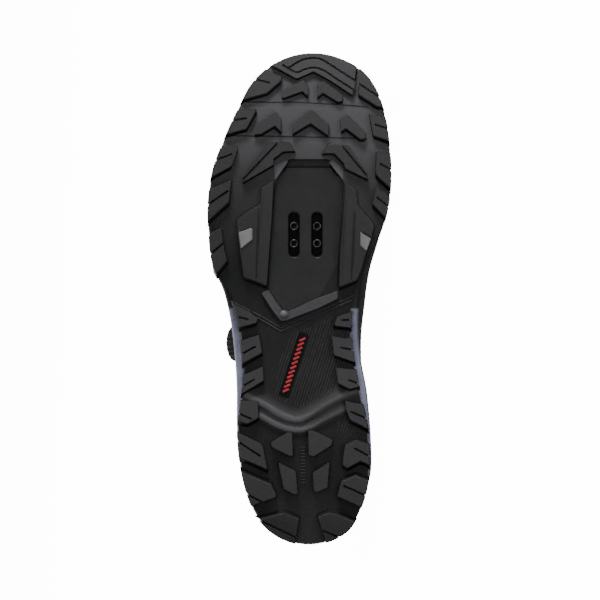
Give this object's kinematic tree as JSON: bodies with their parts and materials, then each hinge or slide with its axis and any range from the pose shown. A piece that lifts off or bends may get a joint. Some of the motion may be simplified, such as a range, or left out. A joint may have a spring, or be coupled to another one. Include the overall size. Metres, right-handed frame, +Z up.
{
  "type": "cycling shoe",
  "caption": "Trail cycling shoe for the right foot: lugged rubber sole with a slotted cleat pocket, foam midsole, hollow upper, padded collar, tongue and lace dial.",
  "frame": {"origin": "centre of the shoe's box on the floor that it lies on", "axes": "+X from heel to toe, +Z up to the lateral side, +Y from the sole towards the collar; the sole faces -Y"},
  "size_m": [0.2992, 0.1198, 0.1101],
  "materials": {
    "rubber": "matte moulded rubber",
    "nylon": "satin moulded nylon",
    "steel": "dark blackened steel",
    "foam": "matte moulded foam, blue grey",
    "upper_fabric": "black woven fabric",
    "lining": "black knitted lining",
    "overlay": "satin film over the fabric"
  },
  "bodies": {
    "root": {"outsole_forefoot": "rubber", "outsole_rear": "rubber", "cleat_plate": "nylon", "nut_plate": "steel", "midsole": "foam", "insole": "lining", "upper": "upper_fabric", "tongue": "upper_fabric", "collar": "lining", "toe_cap": "overlay", "heel_counter": "overlay", "eyestay": "overlay", "dial_base": "nylon", "dial_knob": "nylon", "lace_guide_1": "nylon", "lace_guide_2": "nylon", "lace_guide_3": "nylon", "lace_guide_4": "nylon", "lace_guide_5": "nylon", "lace": "steel"}
  },
  "joints": []
}
